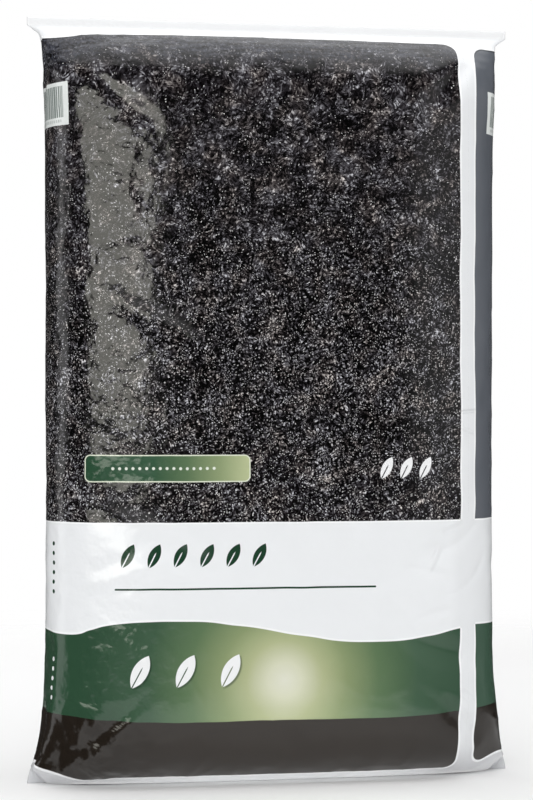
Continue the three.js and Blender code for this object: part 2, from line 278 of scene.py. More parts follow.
# Values worked out from the sizes
SEAL_FOOT = SACK_HEIGHT - SEAL_HEIGHT
SHOULDER_FOOT = SEAL_FOOT - SHOULDER_HEIGHT
FRONT_EDGE = SEAL_WIDTH / 2
FLARE = (SEAL_WIDTH - BODY_WIDTH) / 2
STRIPE_OUTER = FRONT_EDGE - STRIPE_INSET
STRIPE_INNER = STRIPE_OUTER - STRIPE_WIDTH
LABEL_EDGE = FRONT_EDGE - LABEL_INSET
SIDE_MIDDLE = LABEL_EDGE + LABEL_HALF_WIDTH
AROUND = 4 * SIDE_MIDDLE
LABEL_LEFT = -SIDE_MIDDLE - LABEL_HALF_WIDTH
LABEL_BOTTOM = SACK_HEIGHT - LABEL_DROP - LABEL_HEIGHT
PRINT_TOP = SACK_HEIGHT - TOP_MARGIN
PANEL_LEFT = STRIPE_OUTER - AROUND / 2
PILL_BOTTOM = WHITE_BAND_TOP + PILL_GAP
PILL_LEFT = PILL_INSET - FRONT_EDGE


def smooth(values, low, high):
    share = np.clip((values - low) / (high - low), 0, 1)
    return share * share * (3 - 2 * share)


def window(values, rise, fall):
    """1 between the range over which it rises from 0 and the range over which it falls back."""
    return smooth(values, *rise) * (1 - smooth(values, *fall))


def cubic(points, share):
    a, b, c, d = points
    rest = 1 - share
    weights = (rest**3, 3 * rest * rest * share, 3 * rest * share * share, share**3)
    return [sum(w * p[k] for w, p in zip(weights, (a, b, c, d))) for k in (0, 1)]


def into_shoulder(level):
    return min(max((level - SHOULDER_FOOT) / SHOULDER_HEIGHT, 0), 1)


def into_foot(level):
    return min(max(1 - level / FOOT_HEIGHT, 0), 1)


def middle_line(level):
    """Half the depth at a level, and the height of the middle of the front there."""
    weld, full = FILM_THICKNESS / 2, BODY_DEPTH / 2
    if level >= SEAL_FOOT:
        return weld, level
    if level > SHOULDER_FOOT:
        slope = (SHOULDER_SLOPE_OUT, SEAL_FOOT - SHOULDER_SLOPE_DROP)
        line = ((weld, SEAL_FOOT), slope, (full, SEAL_FOOT - SHOULDER_TURN), (full, SHOULDER_FOOT))
        return cubic(line, 1 - into_shoulder(level))
    if level >= FOOT_HEIGHT:
        return full, level
    roll = (BASE_DEPTH / 2 + BASE_ROLL_OUT, BASE_ROLL_LIFT)
    line = ((BASE_DEPTH / 2, 0), roll, (full, FOOT_TURN), (full, FOOT_HEIGHT))
    return cubic(line, 1 - into_foot(level))


def half_width(level):
    under_top = SEAL_FOOT - level
    ear = TOP_EAR_STEP * (1 - smooth(under_top, 0, TOP_EAR_DROP))
    flare = (FLARE - TOP_EAR_STEP) * math.exp(-max(under_top, 0) / TOP_FLARE_FALL)
    foot = FLARE * math.exp(-((level / FOOT_FLARE_FALL) ** FOOT_FLARE_EASE))
    return BODY_WIDTH / 2 + ear + flare + foot


def tuck_at(distance):
    share = max(distance, 0) / GUSSET_TUCK_REACH
    return GUSSET_TUCK * share * math.exp(1 - share)


def quarter_section(level):
    """x, y and the run along the film, from the middle of the front to the middle of the side."""
    half = half_width(level)
    half_depth, _ = middle_line(level)
    weld = FILM_THICKNESS / 2
    belly = half - EAR_LENGTH * max(0, 1 - level / EAR_HEIGHT)
    tuck = tuck_at(SEAL_FOOT - level) + tuck_at(level - EAR_HEIGHT)
    squareness = BODY_SQUARENESS + (BASE_SQUARENESS - BODY_SQUARENESS) * into_foot(level) ** 3
    angle = np.linspace(0, math.pi / 2, SECTION_STEPS + 1)
    x = np.append(belly * np.sin(angle) ** (2 / squareness), [half, half])
    cosine = np.clip(np.cos(angle), 0, 1)
    y = np.append(np.maximum(half_depth * cosine ** (2 / squareness), weld), [weld, 0])
    x = x - tuck * np.maximum(0, 1 - y / half_depth / GUSSET_OPENING) ** 2
    run = np.append(0, np.cumsum(np.hypot(np.diff(x), np.diff(y))))
    return x, y, run


def fold_depth(folds, across, height):
    total = 0
    for (x0, z0), (x1, z1), width, depth in folds:
        dx, dz = x1 - x0, z1 - z0
        length = math.hypot(dx, dz)
        along = ((across - x0) * dx + (height - z0) * dz) / length**2
        off = ((across - x0) * dz - (height - z0) * dx) / length / width
        fade = smooth(along, -0.25, 0.35) * (1 - smooth(along, 0.65, 1.25))
        total = total + depth * fade * np.exp(-4 * off * off)
    return total


def crease_height(across, height):
    """Narrow ridges with a sharp top, which fade out at their ends."""
    total = 0
    for (x0, z0), (x1, z1), width, ridge in CREASES:
        dx, dz = x1 - x0, z1 - z0
        length = math.hypot(dx, dz)
        along = ((across - x0) * dx + (height - z0) * dz) / length**2
        bow = 0.12 * length * np.sin(along * math.pi)
        off = (((across - x0) * dz - (height - z0) * dx) / length + bow) / width
        fade = smooth(along, -0.2, 0.3) * (1 - smooth(along, 0.7, 1.2))
        total = total + ridge * fade * (np.exp(-np.abs(off) * 2.2) - 0.35 * np.exp(-off * off))
    return total


def columns():
    """Distance round the tube of each column, from the middle of the back by the left side."""
    back = np.linspace(0, AROUND / 4, BACK_COLUMNS // 2, endpoint=False)
    front = np.linspace(-SIDE_MIDDLE, SIDE_MIDDLE, FRONT_COLUMNS, endpoint=False)
    return np.concatenate([back - AROUND / 2, front, SIDE_MIDDLE + back])


def levels():
    def stretch(low, high, step):
        return np.linspace(low, high, round((high - low) / step), endpoint=False)

    return np.concatenate([
        stretch(0, FOOT_HEIGHT, END_STEP),
        stretch(FOOT_HEIGHT, SHOULDER_FOOT, BODY_STEP),
        stretch(SHOULDER_FOOT, SEAL_FOOT, END_STEP),
        np.linspace(SEAL_FOOT, SACK_HEIGHT, SEAL_ROWS),
    ])


def film_row(level, around):
    """The points of one level, before the small wrinkles."""
    x, y, run = quarter_section(level)
    back = np.abs(around) > SIDE_MIDDLE
    distance = np.where(back, AROUND / 2 - np.abs(around), np.abs(around))
    side = np.where(around < 0, -1.0, 1.0)
    face = np.where(back, 1.0, -1.0)
    gusset = (distance - LABEL_EDGE) / (SIDE_MIDDLE - LABEL_EDGE)
    at = np.where(gusset > 0, LABEL_EDGE + (run[-1] - LABEL_EDGE) * gusset, distance)
    px, py = np.interp(at, run, x), np.interp(at, run, y)

    from_edge = smooth(x[-1] - px, 0, EDGE_ROUNDING)
    _, middle = middle_line(level)
    height = level + (middle - level) * from_edge
    across = side * distance
    fade = smooth(level, 0, FOOT_HEIGHT / 2) * smooth(SEAL_FOOT - level, 0, SHOULDER_HEIGHT / 2)
    folds = np.where(
        back, fold_depth(BACK_FOLDS, across, height), fold_depth(FRONT_FOLDS, across, height)
    )
    in_body = 1 - max(into_shoulder(level), into_foot(level)) ** 2
    waves = np.sin(across / SWELL_ACROSS * math.pi + face) + np.sin(
        height / SWELL_UP * math.pi + across / SWELL_ACROSS - face
    )
    out = py + (SWELL * waves * in_body - folds * fade) * from_edge
    return np.stack([side * px, face * out, height], axis=-1)


def crinkle(place, size, sharpness):
    """A net of fine ridges, as in film that has been handled."""
    distances, _ = noise.voronoi(place / size)
    return math.exp(-(distances[1] - distances[0]) * sharpness)


def wrinkle_heights(around, level, points):
    """How far small wrinkles lift the film at each point of the net."""
    across, up = np.meshgrid(around, level)
    body = smooth(up, 0, 26) * smooth(SEAL_FOOT - up, 0, 12)
    left = window(across, (-205, -165), (-120, -40))
    near_top = smooth(up, 500, 560)
    side = smooth(np.abs(np.abs(across) - SIDE_MIDDLE), 0, 60)
    near_foot = 1 - smooth(up, 30, 130)
    foot_left = window(across, (-215, -190), (-145, -95)) * (1 - smooth(up, 46, 80))
    foot_right = window(across, (120, 160), (190, 215)) * (1 - smooth(up, 40, 80))
    green_left = window(across, (-200, -180), (-110, -60)) * (1 - smooth(up, 95, 130))
    crumpled = 0.9 * foot_left + 0.15 * foot_right + 0.1 * left + 0.1 * green_left
    crumpled = crumpled + 0.35 * near_top * (1 - side)
    rough = 0.16 + 0.55 * left + 0.3 * near_top + 0.5 * near_foot + 0.35 * (1 - side)

    (large, small), (broad, fine) = WRINKLE_SIZES, CRUMPLE_SIZES
    made = np.zeros(across.shape)
    for i, row in enumerate(points):
        for j, (x, y, z) in enumerate(row):
            place = Vector((x, y, z * 0.8))
            bent = place + WRINKLE_BEND * noise.noise_vector(place / WRINKLE_BEND_SIZE)
            soft = noise.noise(bent / large) + 0.5 * noise.noise(bent / small + Vector((7, 1, 3)))
            ridge = crinkle(bent, RIDGE_SIZE, RIDGE_SHARPNESS)
            made[i, j] = (0.55 * soft + 0.5 * ridge) * rough[i, j]
            if crumpled[i, j] > 0.01:
                sharp = 1 - 2.4 * abs(noise.noise(bent / broad + Vector((3, 9, 1))))
                finer = 1 - 2.4 * abs(noise.noise(bent / fine + Vector((5, 2, 8))))
                made[i, j] += (sharp + 0.4 * finer) * crumpled[i, j]
    return (made + crease_height(across, up)) * body


def streaks(around, level):
    """Fine level pleats under the top seal, which run along it."""
    across, up = np.meshgrid(around, level)
    zone = smooth(up, SHOULDER_FOOT + 4, SHOULDER_FOOT + 30) * smooth(SEAL_FOOT - up, 0, 8)
    made = np.zeros(across.shape)
    for i, row in enumerate(up):
        for j, z in enumerate(row):
            place = Vector((across[i, j] / PLEAT_LENGTH, z / PLEAT_SIZE, 5.0))
            made[i, j] = noise.noise(place)
    return made * zone * PLEAT_LIFT


def net_normals(points):
    """Outward directions, from the neighbours round the tube and up it."""
    round_it = np.roll(points, -1, axis=1) - np.roll(points, 1, axis=1)
    up_it = np.gradient(points, axis=0)
    normal = np.cross(round_it, up_it)
    return normal / np.maximum(np.linalg.norm(normal, axis=-1, keepdims=True), 1e-9)


def slackness(around, level):
    """Where the film is slack, from 0 to 1: the left of the front, the corners and the gussets."""
    across, up = np.meshgrid(around, level)
    left = window(across, (-225, -160), (-118, -60))
    left = left * (1 - 0.5 * smooth(up, 200, 330) * (1 - smooth(up, 400, 520)))
    corner = np.exp(-(((np.abs(np.abs(across) - SIDE_MIDDLE)) / 75) ** 2))
    ends = np.exp(-(((up - SEAL_FOOT) / 62) ** 2)) + 0.75 * np.exp(-((up / 55) ** 2))
    right = window(across, (60, 120), (170, 215)) * np.exp(-(((up - 165) / 50) ** 2))
    back = smooth(np.abs(across), 250, 300)
    slack = 0.45 * left + ends * (0.45 + 0.8 * corner) + 0.5 * right + 0.35 * back
    return np.clip(slack, 0, 1)


def net_faces(rows, count):
    """The numbers of the net's points, and its faces, which close round the tube."""
    index = np.arange(rows * count).reshape(rows, count)
    ahead = np.roll(index, -1, axis=1)
    quads = np.stack([index[:-1], ahead[:-1], ahead[1:], index[1:]], axis=-1).reshape(-1, 4)
    return index, quads


def add_sheet(coarse):
    """The coarse net as an object, stirred a little so that its wrinkles differ."""
    rows, count = coarse.shape[:2]
    start = coarse.copy()
    for i in range(rows):
        for j in range(count):
            place = Vector(coarse[i, j] / START_STIR_SIZE)
            start[i, j] += START_STIR * np.array(noise.noise_vector(place))
    mesh = bpy.data.meshes.new("slack_film")
    _, quads = net_faces(rows, count)
    mesh.from_pydata((start.reshape(-1, 3) * MM * SIM_SCALE).tolist(), [], quads.tolist())
    sheet = bpy.data.objects.new("slack_film", mesh)
    bpy.context.scene.collection.objects.link(sheet)
    return sheet


def add_holds(sheet, around, level):
    """How firmly the fill holds each point of the sheet, and how slack the film is there."""
    held = sheet.vertex_groups.new(name="held")
    slack = sheet.vertex_groups.new(name="slack")
    firm = np.full((len(level), len(around)), HOLD_OF_FILL)
    firm[level > SEAL_FOOT - 1] = 1.0
    firm[0] = 1.0
    share = slackness(around, level)
    for k, (hold, loose) in enumerate(zip(firm.ravel(), share.ravel())):
        held.add([k], float(hold), "REPLACE")
        slack.add([k], float(loose), "REPLACE")


def add_cloth(sheet):
    """Film that its fill presses out, with no weight of its own to carry."""
    cloth = sheet.modifiers.new("cloth", "CLOTH")
    settings = cloth.settings
    settings.quality = SIM_QUALITY
    settings.mass = FILM_MASS
    settings.tension_stiffness = settings.compression_stiffness = FILM_STIFFNESS
    settings.shear_stiffness = FILM_SHEAR
    settings.bending_stiffness = BENDING
    settings.vertex_group_mass = "held"
    settings.pin_stiffness = 1.0
    settings.vertex_group_shrink = "slack"
    settings.shrink_min = 0.0
    settings.shrink_max = -FILM_SLACK
    settings.use_pressure = True
    settings.uniform_pressure_force = FILL_PRESSURE
    settings.effector_weights.gravity = 0
    cloth.point_cache.frame_start, cloth.point_cache.frame_end = 1, SIM_FRAMES


def to_fine_net(shift, shape):
    """Moves of the coarse net, taken to the fine net: straight between neighbours, first up the
    rows and then round, and then smoothed once each way."""
    fine_rows = np.arange(shape[0]) / 2
    low = np.minimum(fine_rows.astype(int), shift.shape[0] - 2)
    part = (fine_rows - low)[:, None, None]
    tall = shift[low] * (1 - part) + shift[low + 1] * part
    fine = np.empty(shape)
    fine[:, ::2] = tall
    fine[:, 1::2] = (tall + np.roll(tall, -1, axis=1)) / 2
    fine = (fine + np.roll(fine, 1, axis=1) + np.roll(fine, -1, axis=1)) / 3
    fine[1:-1] = (fine[:-2] + fine[1:-1] + fine[2:]) / 3
    return fine


def slack_film(around, level, points):
    """The net with the wrinkles that slack film takes up under the pressure of its fill."""
    coarse = points[::2, ::2]
    sheet = add_sheet(coarse)
    add_holds(sheet, around[::2], level[::2])
    add_cloth(sheet)
    for number in range(1, SIM_FRAMES + 1):
        bpy.context.scene.frame_set(number)
    settled = sheet.evaluated_get(bpy.context.evaluated_depsgraph_get()).data
    found = np.empty(coarse.size)
    settled.vertices.foreach_get("co", found)
    bpy.data.objects.remove(sheet)
    bpy.context.scene.frame_set(1)
    shift = found.reshape(coarse.shape) / MM / SIM_SCALE - coarse
    size = np.linalg.norm(shift, axis=-1, keepdims=True)
    shift = shift * np.minimum(1, MOST_MOVE / np.maximum(size, 1e-9))
    return points + to_fine_net(shift, points.shape)


def sack_mesh():
    around, level = columns(), levels()
    points = np.stack([film_row(z, around) for z in level])
    points = slack_film(around, level, points)
    lift = wrinkle_heights(around, level, points) + streaks(around, level)
    points = points + net_normals(points) * lift[..., None]
    points[..., 2] = np.clip(points[..., 2], 0, SACK_HEIGHT)

    rows, count = len(level), len(around)
    index, quads = net_faces(rows, count)
    faces = quads.tolist() + [index[0, ::-1].tolist(), index[-1].tolist()]

    mesh = bpy.data.meshes.new("film_sack")
    mesh.from_pydata((points.reshape(-1, 3) * MM).tolist(), [], faces)
    mesh.polygons.foreach_set("use_smooth", [True] * len(quads) + [False, False])

    # The map: share of the way round, and share of the height
    share = np.append((around + AROUND / 2) / AROUND, 1.0)
    height = level / SACK_HEIGHT
    column = np.tile(np.arange(count), rows - 1)
    row = np.repeat(np.arange(rows - 1), count)
    u = np.stack([share[column], share[column + 1], share[column + 1], share[column]], axis=-1)
    v = np.stack([height[row], height[row], height[row + 1], height[row + 1]], axis=-1)
    caps = np.concatenate([
        np.stack([share[:-1][::-1], np.zeros(count)], axis=-1),
        np.stack([share[:-1], np.ones(count)], axis=-1),
    ])
    film = np.concatenate([np.stack([u, v], axis=-1).reshape(-1, 2), caps])
    mesh.uv_layers.new(name="film").data.foreach_set("uv", film.ravel())
    mesh.update()
    return mesh


def rgb(red, green, blue):
    """A colour as a picture shows it, from 0 to 255, turned into the linear values of shaders."""
    def linear(value):
        share = value / 255
        return share / 12.92 if share <= 0.04045 else ((share + 0.055) / 1.055) ** 2.4

    return (linear(red), linear(green), linear(blue), 1.0)


class Field:
    """A value that varies over the film, worked out by shader nodes from plain arithmetic."""

    tree = None

    def __init__(self, socket):
        self.socket = socket

    @classmethod
    def node(cls, kind, settings=None, inputs=None):
        made = cls.tree.nodes.new(kind)
        for name, value in (settings or {}).items():
            setattr(made, name, value)
        for name, value in (inputs or {}).items():
            plug(made.inputs[name], value)
        return made

    def math(self, operation, *others):
        values = dict(enumerate((self, *others)))
        return Field(self.node("ShaderNodeMath", {"operation": operation}, values).outputs[0])

    def __add__(self, other):
        return self.math("ADD", other)

    def __sub__(self, other):
        return self.math("SUBTRACT", other)

    def __mul__(self, other):
        return self.math("MULTIPLY", other)

    def __truediv__(self, other):
        return self.math("DIVIDE", other)

    def __abs__(self):
        return self.math("ABSOLUTE")

    __radd__ = __add__
    __rmul__ = __mul__

    def __rsub__(self, other):
        return (self * -1) + other

    def above(self, edge, soft=0.2):
        """1 where the value is over the edge, 0 where it is under it."""
        low = edge - soft
        high = edge + soft
        inputs = {"Value": self, "From Min": low, "From Max": high}
        settings = {"interpolation_type": "SMOOTHSTEP"}
        return Field(self.node("ShaderNodeMapRange", settings, inputs).outputs[0])

    def below(self, edge, soft=0.2):
        return 1 - self.above(edge, soft)

    def between(self, low, high, soft=0.2):
        return self.above(low, soft) * self.below(high, soft)


def plug(socket, value):
    if isinstance(value, Field):
        Field.tree.links.new(value.socket, socket)
    else:
        socket.default_value = value


def vector(x, y, z=0.0):
    return Field(Field.node("ShaderNodeCombineXYZ", inputs={0: x, 1: y, 2: z}).outputs[0])


def moved(place, by):
    node = Field.node("ShaderNodeVectorMath", {"operation": "ADD"}, {0: place, 1: by})
    return Field(node.outputs[0])


def stretched(place, by):
    node = Field.node("ShaderNodeVectorMath", {"operation": "MULTIPLY"}, {0: place, 1: by})
    return Field(node.outputs[0])


def grain(place, size, detail=0.0):
    """Noise with features of about this size, from about -1 to 1."""
    inputs = {"Vector": place, "Scale": 1 / size, "Detail": detail}
    return (Field(Field.node("ShaderNodeTexNoise", inputs=inputs).outputs[0]) - 0.5) * 3.2


def speckle(place, size, detail=0.0):
    """The same in the flat print."""
    settings = {"noise_dimensions": "2D"}
    inputs = {"Vector": place, "Scale": 1 / size, "Detail": detail}
    return (Field(Field.node("ShaderNodeTexNoise", settings, inputs).outputs[0]) - 0.5) * 3.2


def cells(place, size):
    """Distance from the middle of a flat cell in cell sizes, and its two random numbers."""
    settings = {"voronoi_dimensions": "2D"}
    node = Field.node("ShaderNodeTexVoronoi", settings, {"Vector": place, "Scale": 1 / size})
    split = Field.node("ShaderNodeSeparateColor", inputs={0: Field(node.outputs["Color"])})
    return Field(node.outputs["Distance"]), Field(split.outputs[0]), Field(split.outputs[1])


def mixed(first, second, share):
    """A colour between two colours."""
    node = Field.node("ShaderNodeMix", {"data_type": "RGBA"})
    for slot, value in ((0, share), (6, first), (7, second)):
        plug(node.inputs[slot], value)
    return Field(node.outputs[2])


def shaded(colour, by):
    """A colour made lighter or darker by a factor."""
    node = Field.node("ShaderNodeVectorMath", {"operation": "SCALE"}, {0: colour, "Scale": by})
    return Field(node.outputs[0])


def ramp(value, tones):
    """A colour between tones, each given with its place from 0 to 1. The two ends come first."""
    node = Field.node("ShaderNodeValToRGB", inputs={0: value})
    elements = node.color_ramp.elements
    for k, (position, colour) in enumerate(tones):
        element = elements[k] if k < 2 else elements.new(position)
        element.position, element.color = position, rgb(*colour)
    return Field(node.outputs[0])


def rounded_box(x, y, left, bottom, width, height, radius):
    """Signed distance to a box with round corners, less than 0 inside it."""
    dx = abs(x - (left + width / 2)) - (width / 2 - radius)
    dy = abs(y - (bottom + height / 2)) - (height / 2 - radius)
    out_x, out_y = dx.math("MAXIMUM", 0.0), dy.math("MAXIMUM", 0.0)
    outside = (out_x * out_x + out_y * out_y).math("SQRT")
    return outside + dx.math("MAXIMUM", dy).math("MINIMUM", 0.0) - radius


def wave_line(across):
    """Rise of the wavy border at a distance across the front."""
    reach, rise = 300.0, 16.0
    node = Field.node("ShaderNodeFloatCurve", inputs={"Value": across / (2 * reach) + 0.5})
    curve = node.mapping.curves[0]
    for k, (x, y) in enumerate(WAVE_POINTS):
        place = (x / (2 * reach) + 0.5, y / (2 * rise) + 0.5)
        if k in (0, len(WAVE_POINTS) - 1):
            curve.points[0 if k == 0 else -1].location = place
        else:
            curve.points.new(*place)
    node.mapping.update()
    return (Field(node.outputs[0]) - 0.5) * (2 * rise)


def clod_relief(place):
    """Heights of clods, whose slopes shade the printed soil."""
    clod, _, _ = cells(moved(place, (3.0, 8.0, 0.0)), CLOD_SIZE)
    lump, _, _ = cells(place, LUMP_SIZE)
    return speckle(place, 8.0, 2.0) * 0.7 - clod * 3.0 - lump * 1.3


def chips(x, y, angle, size, ratio):
    """Long crumbs that lie one way: how far each covers what is under it, and its own tone."""
    turn = math.radians(angle)
    along = x * math.cos(turn) + y * math.sin(turn)
    off = y * math.cos(turn) - x * math.sin(turn)
    far, chance, own = cells(vector(along + size * angle, off * ratio), size)
    return far.below(0.38, 0.1) * chance.above(0.4, 0.02), own


def soil_tone(across, level):
    """Lightness of the printed soil, from about 0 to 1, how coarse it is, and its bent place."""
    place = vector(across, level)
    broad = speckle(place, 42, 1.0)
    coarse = (level + broad * 60).above(COARSE_FROM, COARSE_FADE)
    slope = clod_relief(place) - clod_relief(moved(place, (-0.9, 1.2, 0.0)))
    patchy = broad * 0.1 + speckle(moved(place, (200.0, 0.0, 0.0)), 18, 1.0) * 0.12
    shade = slope * (0.05 + coarse * 0.1) + patchy
    x = across + speckle(moved(place, (60.0, 0.0, 0.0)), 11.0) * 1.6
    y = level + speckle(moved(place, (0.0, 60.0, 0.0)), 11.0) * 1.6
    tone = 0.22 + coarse * 0.09 + speckle(place, 2.6, 1.0) * 0.1
    for angle, size, ratio, weight in CRUMBS:
        cover, own = chips(x, y, angle, size, ratio)
        tone = tone + (own * 0.9 - tone + 0.04) * cover * (coarse * 0.15 + weight)
    far, _, own = cells(vector(x, y), DUST_SIZE)
    tone = tone + (own - 0.5) * (0.92 - coarse * 0.7) * far.below(0.6, 0.3)
    return tone + shade, coarse, vector(x, y)


def soil_colour(across, level):
    """The printed soil, brown in some places and blue in others, with pale specks. Under the top
    seal a painted reflection lies over it: a smooth grey veil.
    """
    place = vector(across, level)
    tone, coarse, loose = soil_tone(across, level)
    colour = ramp(tone, SOIL_TONES)
    hue = speckle(moved(place, (0.0, 300.0, 0.0)), 19, 1.0)
    brown = stretched(colour, (1.06, 0.99, 0.94))
    blue = stretched(colour, (0.97, 0.99, 1.06))
    colour = mixed(brown, blue, hue.above(-0.15, 0.5))

    gathered = speckle(moved(place, (0.0, 500.0, 0.0)), 7.0, 1.0)
    far, chance, bright = cells(loose, SPECK_SIZE)
    often = chance + gathered * 0.2 + 0.05 - coarse * 0.2
    speck = far.below(0.24, 0.1) * often.above(0.8, 0.03)
    colour = mixed(colour, rgb(*PALE_SPECKS), speck * (bright * 0.85 + 0.1))

    # Under the top seal a smooth grey, drawn out level, is painted over the soil: a painted
    # reflection of the pale veil that the curved shoulder catches
    veil_share = (level + speckle(place, 24, 1.0) * 5.0).above(SHOULDER_VEIL_LEVEL, 9.0)
    drawn = speckle(stretched(place, (0.12, 1.0, 1.0)), 2.6, 2.0) + speckle(place, 2.3, 2.0)
    veil_grey = shaded(rgb(*SHOULDER_VEIL_GREY)[:3], 1.0 + drawn * 1.1)
    return mixed(colour, veil_grey, veil_share * 0.6)


def green_colour(across, level):
    """Dark green with a pale glow in the middle of the front."""
    dx, dy = across + GLOW_LEFT, level - GLOW_LEVEL
    far = (dx * dx + dy * dy).math("SQRT")
    return ramp(far / GLOW_REACH, GREEN_TONES)


def label_colour(across, level):
    """A plain white field with upright bars."""
    left, bottom, width = LABEL_LEFT, LABEL_BOTTOM, 2 * LABEL_HALF_WIDTH
    bars = rounded_box(across, level, left + 5, bottom + 6, width - 9.5, LABEL_HEIGHT - 9.0, 0.2)
    marks = rounded_box(across, level, left + 7, bottom + 2.2, width - 13.5, 2.2, 0.2)
    pick = Field.node(
        "ShaderNodeTexNoise", {"noise_dimensions": "1D"}, {"W": across, "Scale": 0.9, "Detail": 1.0}
    )
    bar = Field(pick.outputs[0]).above(0.47, 0.06)
    shown = bar * bars.below(0.0, 0.15) + (1 - bar) * marks.below(0.0, 0.15) * 0.7
    return mixed(rgb(*LABEL_FIELD), rgb(*LABEL_BARS), shown)


def leaf_row(across, level, row):
    """Signed distance to a row of plain pointed leaves, split by the vein along each."""
    left, count, pitch, middle, height = row
    place = (across - left) / pitch
    index = place.math("FLOOR")
    x, y = (place - index - 0.5) * pitch, level - middle
    turn = math.radians(LEAF_LEAN)
    along = y * math.cos(turn) + x * math.sin(turn)
    off = abs(x * math.cos(turn) - y * math.sin(turn))
    half = height / 2 / math.cos(turn)
    plump = half * LEAF_PLUMPNESS
    radius = (half * half + plump * plump) / 2 / plump
    to_middle = off + (radius - plump)
    leaf = (to_middle * to_middle + along * along).math("SQRT") - radius
    vein = LEAF_VEIN - off - along.above(half * 0.45, half * 0.4) * 2
    outside = index.between(-0.5, count - 0.5, 0.01)
    return leaf.math("MAXIMUM", vein) + (1 - outside) * height


def dots(run, off, pitch, count, radius):
    """Signed distance to a row of round dots that starts where the run is 0."""
    index = (run / pitch).math("FLOOR")
    x = run - (index + 0.5) * pitch
    outside = index.between(-0.5, count - 0.5, 0.01)
    return (x * x + off * off).math("SQRT") - radius + (1 - outside) * pitch


def side_dots(across, level, foot, count):
    """Signed distance to the upright rows of dots, one on each side of the sack."""
    first, second = (
        dots(level - foot, across - x, SIDE_DOT_PITCH, count, SIDE_DOT_RADIUS) for x in SIDE_DOTS
    )
    return first.math("MINIMUM", second)


def pill_colour(across, level):
    """A rounded plate that turns from dark to pale green, with a row of dots."""
    field = ramp((across - PILL_LEFT) / PILL_LENGTH, PILL_TONES)
    row = dots(across - PILL_DOTS_LEFT, level - PILL_BOTTOM - PILL_HEIGHT / 2, *PILL_DOTS)
    return mixed(field, rgb(*PILL_DOT), row.below(0.0, 0.3))


def film_place():
    """Distance round the tube and level, from the mesh's map."""
    node = Field.node("ShaderNodeUVMap", {"uv_map": "film"})
    split = Field.node("ShaderNodeSeparateXYZ", inputs={0: Field(node.outputs[0])})
    return (Field(split.outputs[0]) - 0.5) * AROUND, Field(split.outputs[1]) * SACK_HEIGHT


def fine_creases(around, level):
    """Heights of the creases that are too fine for the net."""
    total = 0.0
    for (x0, z0), (x1, z1), reach, height in FINE_CREASES:
        dx, dz = x1 - x0, z1 - z0
        length = math.hypot(dx, dz)
        along = ((around - x0) * dx + (level - z0) * dz) / length**2
        off = abs((around - x0) * dz - (level - z0) * dx) / length
        total = off.below(reach / 2, reach / 2) * along.between(0.12, 0.88, 0.14) * height + total
    return total


def on_panel(around):
    """Distance from the middle of a panel's own face, where the distance is past the front's
    stripe, and where the panel is the back's. Both panels share one layout."""
    on_back = around.above(STRIPE_OUTER - STRIPE_WIDTH / 2, 0.01)
    past_left = around.below(PANEL_LEFT - STRIPE_WIDTH / 2, 0.01)
    across = around - on_back * (AROUND / 2) + past_left * (AROUND / 2)
    return across, on_back, on_back + past_left


def panel_edge(across, level, on_back):
    """Signed distance to the long rounded field of a panel, less than 0 inside it."""
    wander = grain(vector(0.0, level, on_back), BORDER_WANDER_RUN, 1.0) * BORDER_WANDER
    dip = across.between(-200.0, -150.0, 14.0) * level.below(45.0, 20.0) * CORNER_DIP
    lean = level.above(560.0, 24.0) * SHOULDER_LEAN
    width, height = STRIPE_INNER - PANEL_LEFT, PRINT_TOP - FOOT_MARGIN
    return rounded_box(
        across + wander - lean, level + dip, PANEL_LEFT, FOOT_MARGIN, width, height, CORNER_RADIUS
    )


def in_front(shape, behind):
    """A signed distance that leaves the shape out on the back."""
    return shape + behind * 50


def bare_colour(across, level, border, behind):
    """The film round the fields of print and in the white band, with the marks on that band, and
    painted shade over the stripe and the panel's side edge, where the film turns away, and at the
    bottom corners.
    """
    # Painted shade: the bare film is darker over the stripe and by the panel's left edge, where the
    # film turns away from the light
    side_shade = across.above(STRIPE_INNER - 5.0, 6.0) + across.below(PANEL_LEFT + 24.0, 26.0)
    side_shade = side_shade * level.between(22.0, 560.0, 12.0)
    bare = mixed(rgb(*BARE_FILM), rgb(*BARE_IN_SIDE_SHADE), side_shade)
    # Painted shade: the bare film is darker at the bottom corners, where the crumpled folds shade
    # it
    corner = across.above(128.0, 14.0) + across.below(-140.0, 20.0)
    bare = mixed(bare, rgb(*BARE_IN_CORNER_SHADE), corner * level.below(30.0, 16.0) * 0.8)
    bare = mixed(bare, rgb(*SEAL_FILM), level.above(SEAL_FOOT, 1.0))
    bare = mixed(bare, rgb(*BORDER_FILM), border)
    marks = leaf_row(across, level, HEAD_LEAVES)
    rule = rounded_box(
        across, level, RULE_LEFT, RULE_LEVEL - RULE_THICKNESS / 2, RULE_LENGTH, RULE_THICKNESS, 0.7
    )
    marks = in_front(marks.math("MINIMUM", rule), behind)
    marks = marks.math("MINIMUM", side_dots(across, level, BAND_DOTS_FOOT, BAND_DOTS))
    return mixed(bare, rgb(*DARK_MARKS), marks.below(0.0, PRINT_SOFTNESS))


